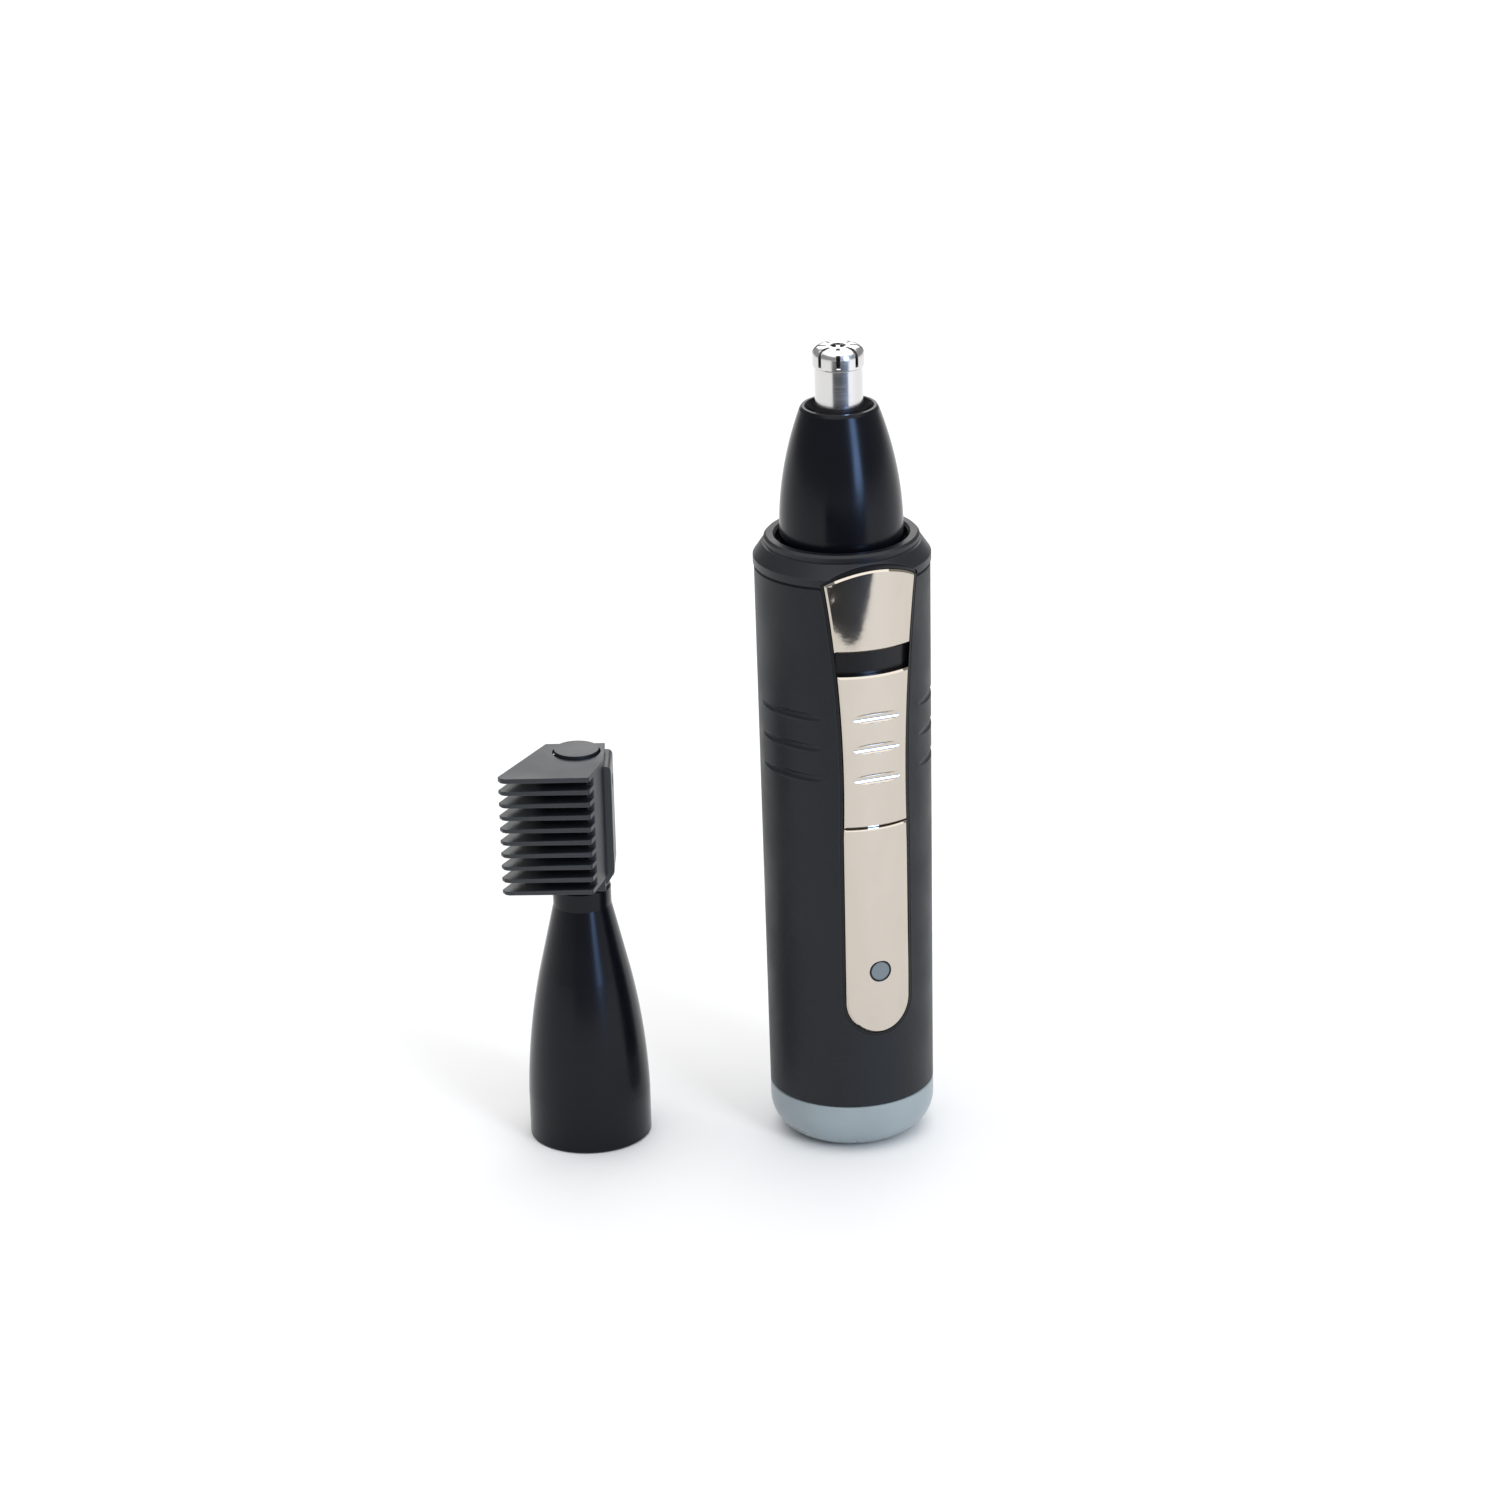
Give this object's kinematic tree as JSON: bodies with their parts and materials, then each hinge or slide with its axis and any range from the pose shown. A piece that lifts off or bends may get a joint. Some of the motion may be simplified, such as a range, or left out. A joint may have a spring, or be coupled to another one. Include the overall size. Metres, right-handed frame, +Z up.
{
  "type": "nose hair trimmer",
  "caption": "Round battery handle with a slide switch and a slotted nose trimming head, and a loose sideburn head with a guide comb standing beside it.",
  "frame": {"origin": "where the handle's axis meets the surface it stands on, at the bottom cap's flat face", "axes": "+Z up along the handle towards the cutter, -Y out of the control panel, +X to the right of someone who faces the panel; the sideburn head stands at -X"},
  "size_m": [0.0725, 0.04, 0.1382],
  "materials": {
    "handle_matte": "soft-touch matt moulding",
    "collar_black": "satin black moulding",
    "cap_grey": "satin grey moulding",
    "bezel_black": "gloss black moulding",
    "panel_chrome": "bright plated",
    "lens_clear": "translucent",
    "head_black": "gloss black moulding",
    "comb_black": "satin black moulding",
    "cutter_steel": "polished stainless steel",
    "screw_steel": "plain steel",
    "inner_plastic": "natural acetal",
    "seal_rubber": "black rubber",
    "contact_brass": "plain brass",
    "lead_insulation": "red insulation",
    "board_green": "solder mask",
    "chip_black": "moulded chips",
    "led_red": "diffused red",
    "cell_sleeve": "shrink sleeve",
    "motor_steel": "plated steel can",
    "magnet_grey": "sintered ferrite",
    "armature_iron": "laminated iron",
    "winding_copper": "enamelled copper"
  },
  "bodies": {
    "handle": {"handle_sleeve": "handle_matte", "top_collar": "collar_black", "bottom_cap": "cap_grey", "cap_seal": "seal_rubber", "cap_screws": "screw_steel", "charge_contacts": "contact_brass", "panel_bezel": "bezel_black", "upper_plate": "panel_chrome", "lower_plate": "panel_chrome", "indicator_lens": "lens_clear", "inner_chassis": "inner_plastic", "circuit_board": "board_green", "board_components": "chip_black", "indicator_led": "led_red", "battery_cell": "cell_sleeve", "minus_contact": "screw_steel", "plus_contact": "screw_steel", "minus_spring": "screw_steel", "charge_leads": "lead_insulation", "motor_can": "motor_steel", "motor_end_cap": "inner_plastic", "motor_bushings": "contact_brass", "motor_magnets": "magnet_grey", "motor_terminals": "contact_brass", "motor_screws": "screw_steel"},
    "power_switch": {"switch_slider": "panel_chrome", "switch_carrier": "inner_plastic", "switch_contact": "contact_brass"},
    "motor_rotor": {"motor_shaft": "screw_steel", "motor_armature": "armature_iron", "motor_windings": "winding_copper", "motor_commutator": "contact_brass", "drive_coupler": "inner_plastic"},
    "nose_head": {"nose_head_shell": "head_black", "nose_cutter_tube": "cutter_steel", "nose_base_ring": "inner_plastic"},
    "nose_cutter": {"nose_spindle": "inner_plastic", "nose_blade": "cutter_steel", "nose_spring": "screw_steel"},
    "side_head": {"side_head_shell": "head_black", "side_base_ring": "inner_plastic", "blade_post": "comb_black", "rear_cover": "comb_black", "blade_screws": "screw_steel", "cover_screws": "screw_steel", "fixed_blade": "cutter_steel"},
    "side_drive": {"side_spindle": "inner_plastic", "side_cam": "inner_plastic"},
    "side_cutter": {"moving_blade": "cutter_steel", "blade_follower": "inner_plastic"},
    "comb": {"guide_comb": "comb_black"}
  },
  "joints": [
    {"name": "switch_slide", "type": "slide", "parent": "handle", "child": "power_switch", "axis": [0, 0, 1], "range_m": [0, 0.0039]},
    {"name": "motor_spin", "type": "hinge", "parent": "handle", "child": "motor_rotor", "pos_m": [0, 0, 0.08], "axis": [0, 0, 1], "continuous": true},
    {"name": "nose_head_pull", "type": "slide", "parent": "handle", "child": "nose_head", "axis": [0, 0, 1], "range_m": [0, 0.02]},
    {"name": "nose_cutter_spin", "type": "hinge", "parent": "nose_head", "child": "nose_cutter", "pos_m": [0, 0, 0.12], "axis": [0, 0, 1], "continuous": true},
    {"name": "side_head_lift", "type": "slide", "parent": "handle", "child": "side_head", "axis": [0, 0, 1], "range_m": [0, 0.05]},
    {"name": "side_drive_spin", "type": "hinge", "parent": "side_head", "child": "side_drive", "pos_m": [-0.0422, 0.0149, 0.03], "axis": [0, 0, 1], "continuous": true},
    {"name": "side_cutter_stroke", "type": "slide", "parent": "side_head", "child": "side_cutter", "axis": [0, 0, 1], "range_m": [-0.0006, 0.0006]},
    {"name": "comb_pull", "type": "slide", "parent": "side_head", "child": "comb", "axis": [0, 0, 1], "range_m": [0, 0.024]}
  ],
  "couplings": [
    {"joint": "nose_cutter_spin", "follows": "motor_spin", "ratio": 1}
  ]
}
